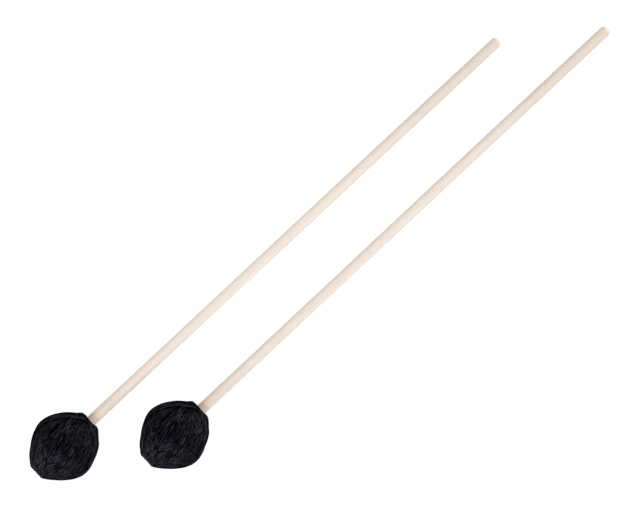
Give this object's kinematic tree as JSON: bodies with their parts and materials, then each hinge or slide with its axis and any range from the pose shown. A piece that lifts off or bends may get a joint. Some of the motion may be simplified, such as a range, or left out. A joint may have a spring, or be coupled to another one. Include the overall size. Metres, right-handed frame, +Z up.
{
  "type": "marimba mallets",
  "caption": "Matched yarn-wound marimba mallets lying side by side: pale birch dowels with domed butts, each in a black yarn head wound over a bored rubber core.",
  "frame": {"origin": "middle of the pair's bounding box, on the surface that it lies on", "axes": "+X along the shafts from the heads to the butts, +Z up; the mallet whose nodes start with mallet_a is on the +Y side"},
  "size_m": [0.4782, 0.0896, 0.0449],
  "materials": {
    "birch": "satin",
    "core_rubber": "matte",
    "wrap_latex": "matte",
    "inner_yarn": "matte",
    "black_yarn": "matte",
    "stitching_thread": "satin"
  },
  "bodies": {
    "mallet_a": {"mallet_a_shaft": "birch", "mallet_a_core": "core_rubber", "mallet_a_under_wrap": "wrap_latex", "mallet_a_inner_yarn": "inner_yarn", "mallet_a_outer_yarn": "black_yarn", "mallet_a_crown_stitching": "stitching_thread", "mallet_a_shaft_stitching": "stitching_thread"},
    "mallet_b": {"mallet_b_shaft": "birch", "mallet_b_core": "core_rubber", "mallet_b_under_wrap": "wrap_latex", "mallet_b_inner_yarn": "inner_yarn", "mallet_b_outer_yarn": "black_yarn", "mallet_b_crown_stitching": "stitching_thread", "mallet_b_shaft_stitching": "stitching_thread"}
  },
  "joints": [
    {"name": "mallet_b_lift", "type": "slide", "parent": "mallet_a", "child": "mallet_b", "axis": [0, 0, 1], "range_m": [0, 0.12]}
  ]
}
